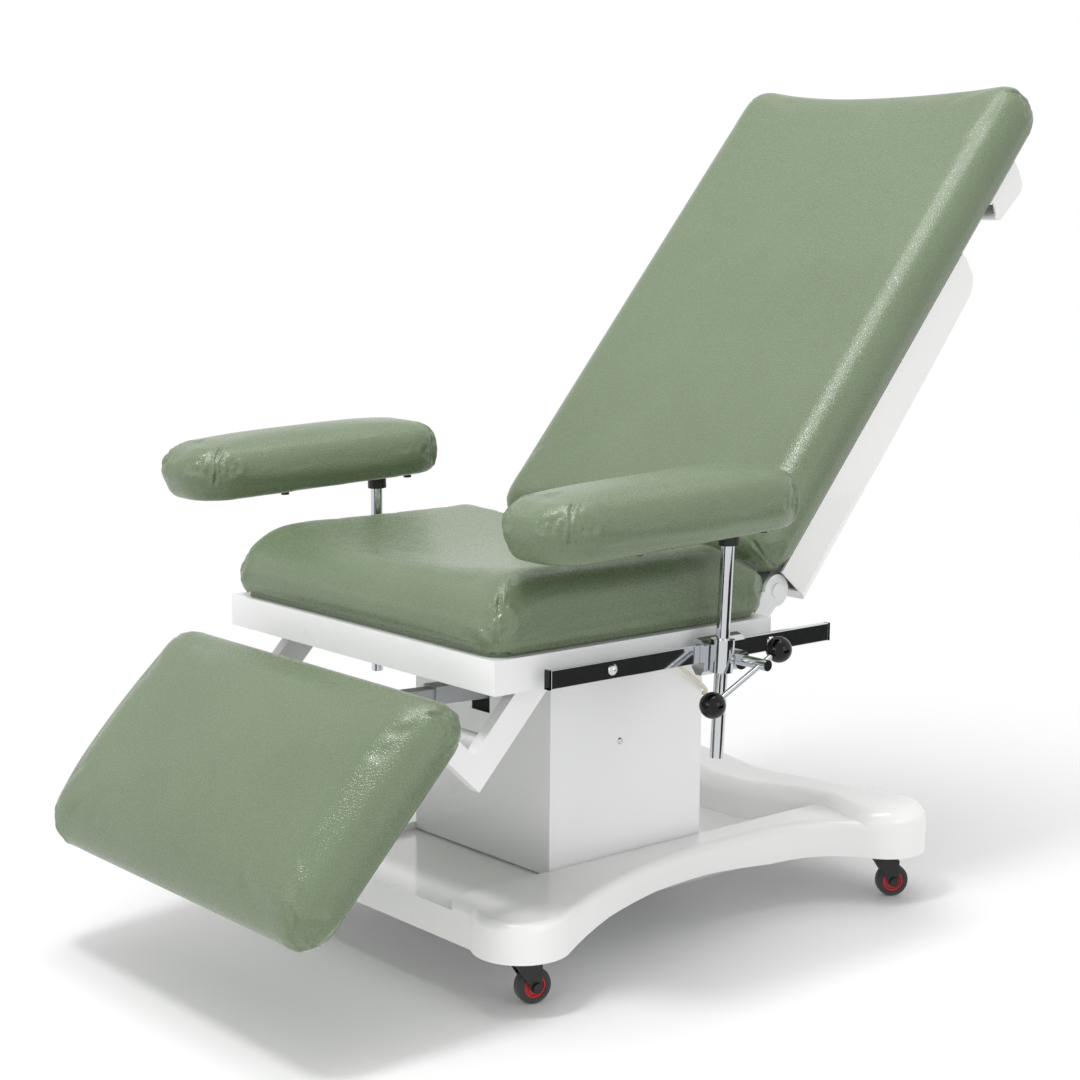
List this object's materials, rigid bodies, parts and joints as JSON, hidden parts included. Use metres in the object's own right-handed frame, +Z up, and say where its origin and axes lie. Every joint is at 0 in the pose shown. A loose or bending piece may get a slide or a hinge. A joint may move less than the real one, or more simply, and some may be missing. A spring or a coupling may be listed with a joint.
{
  "type": "phlebotomy chair",
  "caption": "Padded blood-draw chair with reclining back, swinging leg rest, lift column, clamped swivelling arm rests on side rails and a wheeled moulded base.",
  "frame": {"origin": "middle of the bounding box on the floor, at the lowest points of the four caster wheels", "axes": "+Z up; the chair's length runs along Y with the sitter facing -Y; +X is the sitter's left"},
  "size_m": [0.8288, 1.3618, 1.2079],
  "materials": {
    "gloss_white": "gloss white powder coat",
    "moulded_white": "gloss white moulding",
    "green_vinyl": "embossed sage-green vinyl with a soft sheen",
    "chrome": "mirror polished",
    "zinc_steel": "grey painted steel",
    "black_board": "upholstery board under black lining",
    "black_plastic": "glossy black",
    "black_steel": "satin black",
    "red_nylon": "red nylon",
    "grey_tread": "dark grey tread",
    "cream_cable": "cream flexible cable"
  },
  "bodies": {
    "base": {"base_cover": "moulded_white", "base_chassis": "zinc_steel", "column_shroud": "gloss_white", "guide_tubes": "zinc_steel", "lift_actuator": "black_plastic", "caster_plates": "black_steel"},
    "seat": {"seat_frame": "gloss_white", "seat_board": "black_board", "seat_cushion": "green_vinyl", "column_cover": "gloss_white", "guide_sliders": "chrome", "lift_rod": "chrome", "rail_left": "chrome", "rail_right": "chrome", "rail_spacers": "gloss_white", "rail_end_caps": "black_plastic", "cover_screws": "chrome", "pivot_pins": "chrome", "power_cable": "cream_cable"},
    "back": {"back_frame": "zinc_steel", "back_board": "black_board", "back_cushion": "green_vinyl", "back_shell": "moulded_white", "push_handle": "moulded_white"},
    "back_rod": {"back_actuator_rod": "chrome"},
    "back_tube": {"back_actuator_tube": "black_plastic"},
    "leg": {"leg_frame": "gloss_white", "leg_board": "black_board", "leg_cushion": "green_vinyl"},
    "leg_rod": {"leg_actuator_rod": "zinc_steel"},
    "leg_tube": {"leg_actuator_tube": "zinc_steel"},
    "fork_fl": {"caster_fork_fl": "black_steel"},
    "wheel_fl": {"caster_rim_fl": "red_nylon", "caster_tyre_fl": "grey_tread"},
    "fork_fr": {"caster_fork_fr": "black_steel"},
    "wheel_fr": {"caster_rim_fr": "red_nylon", "caster_tyre_fr": "grey_tread"},
    "fork_rl": {"caster_fork_rl": "black_steel"},
    "wheel_rl": {"caster_rim_rl": "red_nylon", "caster_tyre_rl": "grey_tread"},
    "fork_rr": {"caster_fork_rr": "black_steel"},
    "wheel_rr": {"caster_rim_rr": "red_nylon", "caster_tyre_rr": "grey_tread"},
    "clamp_left": {"arm_clamp_left": "chrome"},
    "screw_left": {"clamp_screw_left": "chrome"},
    "bar_left": {"tommy_bar_left": "chrome", "arm_knobs_left": "black_plastic"},
    "post_left": {"arm_post_left": "chrome"},
    "pad_left": {"arm_plate_left": "black_steel", "arm_pad_left": "green_vinyl"},
    "clamp_right": {"arm_clamp_right": "chrome"},
    "screw_right": {"clamp_screw_right": "chrome"},
    "bar_right": {"tommy_bar_right": "chrome", "arm_knobs_right": "black_plastic"},
    "post_right": {"arm_post_right": "chrome"},
    "pad_right": {"arm_plate_right": "black_steel", "arm_pad_right": "green_vinyl"}
  },
  "joints": [
    {"name": "lift", "type": "slide", "parent": "base", "child": "seat", "axis": [0, 0, 1], "range_m": [0, 0.18]},
    {"name": "back_recline", "type": "hinge", "parent": "seat", "child": "back", "pos_m": [0, 0.135, 0.5], "axis": [-1, 0, 0], "range_deg": [-15, 48]},
    {"name": "leg_rest", "type": "hinge", "parent": "seat", "child": "leg", "pos_m": [0, -0.282, 0.446], "axis": [-1, 0, 0], "range_deg": [-20, 26]},
    {"name": "leg_rod_swing", "type": "hinge", "parent": "leg", "child": "leg_rod", "pos_m": [0, -0.34468, 0.36491], "axis": [-1, 0, 0], "range_deg": [-22, 17]},
    {"name": "leg_tube_slide", "type": "slide", "parent": "leg_rod", "child": "leg_tube", "axis": [0, 0.9993, -0.0364], "range_m": [-0.029, 0.037]},
    {"name": "back_rod_swing", "type": "hinge", "parent": "back", "child": "back_rod", "pos_m": [0, 0.14977, 0.45014], "axis": [-1, 0, 0], "range_deg": [-48, 15.1]},
    {"name": "back_tube_slide", "type": "slide", "parent": "back_rod", "child": "back_tube", "axis": [0, -1, 0.0059], "range_m": [-0.042, 0.0135]},
    {"name": "swivel_fl", "type": "hinge", "parent": "base", "child": "fork_fl", "pos_m": [0.25, -0.312, 0.06], "axis": [0, 0, 1], "continuous": true},
    {"name": "roll_fl", "type": "hinge", "parent": "fork_fl", "child": "wheel_fl", "pos_m": [0.25382, -0.29544, 0.0245], "axis": [0.9744, -0.225, 0], "continuous": true},
    {"name": "swivel_fr", "type": "hinge", "parent": "base", "child": "fork_fr", "pos_m": [-0.25, -0.312, 0.06], "axis": [0, 0, 1], "continuous": true},
    {"name": "roll_fr", "type": "hinge", "parent": "fork_fr", "child": "wheel_fr", "pos_m": [-0.25382, -0.29544, 0.0245], "axis": [0.9744, 0.225, 0], "continuous": true},
    {"name": "swivel_rl", "type": "hinge", "parent": "base", "child": "fork_rl", "pos_m": [0.25, 0.396, 0.06], "axis": [0, 0, 1], "continuous": true},
    {"name": "roll_rl", "type": "hinge", "parent": "fork_rl", "child": "wheel_rl", "pos_m": [0.25926, 0.41026, 0.0245], "axis": [0.8387, -0.5446, 0], "continuous": true},
    {"name": "swivel_rr", "type": "hinge", "parent": "base", "child": "fork_rr", "pos_m": [-0.25, 0.396, 0.06], "axis": [0, 0, 1], "continuous": true},
    {"name": "roll_rr", "type": "hinge", "parent": "fork_rr", "child": "wheel_rr", "pos_m": [-0.25581, 0.41197, 0.0245], "axis": [0.9397, 0.342, 0], "continuous": true},
    {"name": "arm_slide_left", "type": "slide", "parent": "seat", "child": "clamp_left", "axis": [0, 1, 0], "range_m": [-0.13, 0.045]},
    {"name": "screw_turn_left", "type": "hinge", "parent": "clamp_left", "child": "screw_left", "pos_m": [0.34, -0.021, 0.4361], "axis": [1, 0, 0], "range_deg": [-90, 90]},
    {"name": "bar_slide_left", "type": "slide", "parent": "screw_left", "child": "bar_left", "axis": [0, 0.9026, 0.4305], "range_m": [-0.008, 0.07]},
    {"name": "post_rise_left", "type": "slide", "parent": "clamp_left", "child": "post_left", "axis": [0, 0.0454, 0.999], "range_m": [-0.025, 0.1]},
    {"name": "pad_turn_left", "type": "hinge", "parent": "post_left", "child": "pad_left", "pos_m": [0.34, -0.046, 0.4456], "axis": [0, 0.0454, 0.999], "range_deg": [-30, 90]},
    {"name": "arm_slide_right", "type": "slide", "parent": "seat", "child": "clamp_right", "axis": [0, 1, 0], "range_m": [-0.062, 0.113]},
    {"name": "screw_turn_right", "type": "hinge", "parent": "clamp_right", "child": "screw_right", "pos_m": [-0.34, -0.089, 0.4361], "axis": [-1, 0, 0], "range_deg": [-90, 90]},
    {"name": "bar_slide_right", "type": "slide", "parent": "screw_right", "child": "bar_right", "axis": [0, 0.9026, 0.4305], "range_m": [-0.008, 0.07]},
    {"name": "post_rise_right", "type": "slide", "parent": "clamp_right", "child": "post_right", "axis": [0, 0, 1], "range_m": [-0.025, 0.1]},
    {"name": "pad_turn_right", "type": "hinge", "parent": "post_right", "child": "pad_right", "pos_m": [-0.34, -0.114, 0.4456], "axis": [0, 0, 1], "range_deg": [-90, 30]}
  ],
  "couplings": [
    {"joint": "leg_rod_swing", "follows": "leg_rest", "ratio": -0.825},
    {"joint": "leg_tube_slide", "follows": "leg_rest", "m_per_rad": 0.0799},
    {"joint": "back_rod_swing", "follows": "back_recline", "ratio": -1},
    {"joint": "back_tube_slide", "follows": "back_recline", "m_per_rad": -0.0495}
  ]
}
